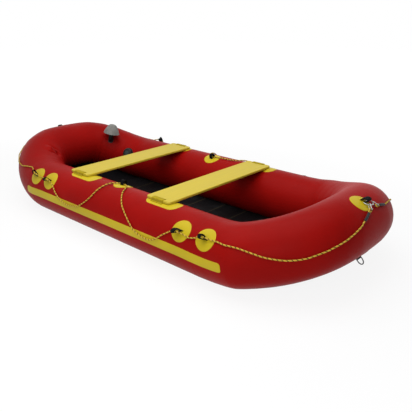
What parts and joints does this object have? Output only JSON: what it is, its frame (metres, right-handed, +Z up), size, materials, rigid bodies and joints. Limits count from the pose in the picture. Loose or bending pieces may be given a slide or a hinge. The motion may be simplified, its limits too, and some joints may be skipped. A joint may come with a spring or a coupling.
{
  "type": "inflatable boat",
  "caption": "Inflatable rescue boat with one round buoyancy tube, slatted floor, strapped thwarts, grab line in glued loops, and bow and tow rings.",
  "frame": {"origin": "midway along and across the hull, on the surface that the tubes rest on", "axes": "+X towards the bow, +Y towards the port side, +Z up"},
  "size_m": [3.7021, 1.6633, 0.6296],
  "materials": {
    "red_fabric": "red coated boat fabric, satin",
    "yellow_fabric": "yellow coated boat fabric, satin",
    "webbing": "yellow coated webbing",
    "thwart_board": "yellow board with a soft sheen",
    "bottom_fabric": "black coated bottom fabric",
    "floor_board": "black floor slat",
    "bulkhead_film": "airtight film inside the tube",
    "steel": "stainless steel, polished",
    "rope": "yellow laid rope with dark flecks",
    "black_rubber": "black shrink sleeve",
    "black_plastic": "black moulded plastic",
    "grey_plastic": "grey moulded plastic"
  },
  "bodies": {
    "hull": {"bottom_skin": "bottom_fabric", "bow_loop": "yellow_fabric", "bulkhead_port": "bulkhead_film", "bulkhead_starboard": "bulkhead_film", "buoyancy_chamber_aft": "red_fabric", "buoyancy_chamber_fore": "red_fabric", "floor_board_1": "floor_board", "floor_board_2": "floor_board", "floor_board_3": "floor_board", "floor_board_4": "floor_board", "floor_board_5": "floor_board", "floor_board_6": "floor_board", "floor_board_7": "floor_board", "floor_board_8": "floor_board", "grab_line_port": "rope", "grab_line_starboard": "rope", "line_loop_bow_a_port": "yellow_fabric", "line_loop_bow_a_starboard": "yellow_fabric", "line_loop_bow_b_port": "yellow_fabric", "line_loop_bow_b_starboard": "yellow_fabric", "line_loop_middle_port": "yellow_fabric", "line_loop_middle_starboard": "yellow_fabric", "line_loop_stern": "yellow_fabric", "line_loop_stern_a_port": "yellow_fabric", "line_loop_stern_a_starboard": "yellow_fabric", "line_loop_stern_b_port": "yellow_fabric", "line_loop_stern_b_starboard": "yellow_fabric", "relief_neck": "black_plastic", "side_strake_port": "yellow_fabric", "side_strake_starboard": "yellow_fabric", "thwart_aft": "thwart_board", "thwart_fore": "thwart_board", "thwart_patch_aft_port": "yellow_fabric", "thwart_patch_aft_starboard": "yellow_fabric", "thwart_patch_fore_port": "yellow_fabric", "thwart_patch_fore_starboard": "yellow_fabric", "thwart_strap_aft_port": "webbing", "thwart_strap_aft_starboard": "webbing", "thwart_strap_fore_port": "webbing", "thwart_strap_fore_starboard": "webbing", "tow_loop": "red_fabric", "valve_aft": "black_plastic", "valve_fore": "black_plastic"},
    "bow_ring": {"bow_ring": "steel", "shackle_port": "steel", "shackle_starboard": "steel", "rope_eye_port": "rope", "rope_eye_starboard": "rope", "rope_sleeve_port": "black_rubber", "rope_sleeve_starboard": "black_rubber"},
    "shackle_pin_port": {"shackle_pin_port": "steel"},
    "shackle_pin_starboard": {"shackle_pin_starboard": "steel"},
    "tow_ring": {"tow_ring": "steel"},
    "valve_cap_aft": {"valve_cap_aft": "black_plastic"},
    "valve_cap_fore": {"valve_cap_fore": "black_plastic"},
    "relief_bell": {"relief_bell": "grey_plastic"}
  },
  "joints": [
    {"name": "bow_ring_swing", "type": "hinge", "parent": "hull", "child": "bow_ring", "pos_m": [1.74298, 0, 0.60102], "axis": [0, -1, 0], "range_deg": [0, 20]},
    {"name": "shackle_pin_port_turn", "type": "hinge", "parent": "bow_ring", "child": "shackle_pin_port", "pos_m": [1.79725, 0.04565, 0.5726], "axis": [0.7335, 0.0773, 0.6752], "range_deg": [0, 360]},
    {"name": "shackle_pin_starboard_turn", "type": "hinge", "parent": "bow_ring", "child": "shackle_pin_starboard", "pos_m": [1.80025, -0.04569, 0.56968], "axis": [0.735, -0.0628, 0.6752], "range_deg": [0, 360]},
    {"name": "tow_ring_swing", "type": "hinge", "parent": "hull", "child": "tow_ring", "pos_m": [1.73876, 0, 0.18888], "axis": [0, 1, 0], "range_deg": [-50, 100]},
    {"name": "valve_cap_aft_turn", "type": "hinge", "parent": "hull", "child": "valve_cap_aft", "pos_m": [-1.12198, 0.36695, 0.32246], "axis": [0.2261, -0.8908, 0.3941], "range_deg": [0, 90]},
    {"name": "valve_cap_fore_turn", "type": "hinge", "parent": "hull", "child": "valve_cap_fore", "pos_m": [1.19309, -0.37204, 0.38654], "axis": [-0.5057, 0.7153, 0.4823], "range_deg": [0, 90]},
    {"name": "relief_bell_turn", "type": "hinge", "parent": "hull", "child": "relief_bell", "pos_m": [-1.2943, 0.32729, 0.60378], "axis": [0.1672, 0.1505, 0.9744], "range_deg": [0, 180]}
  ]
}
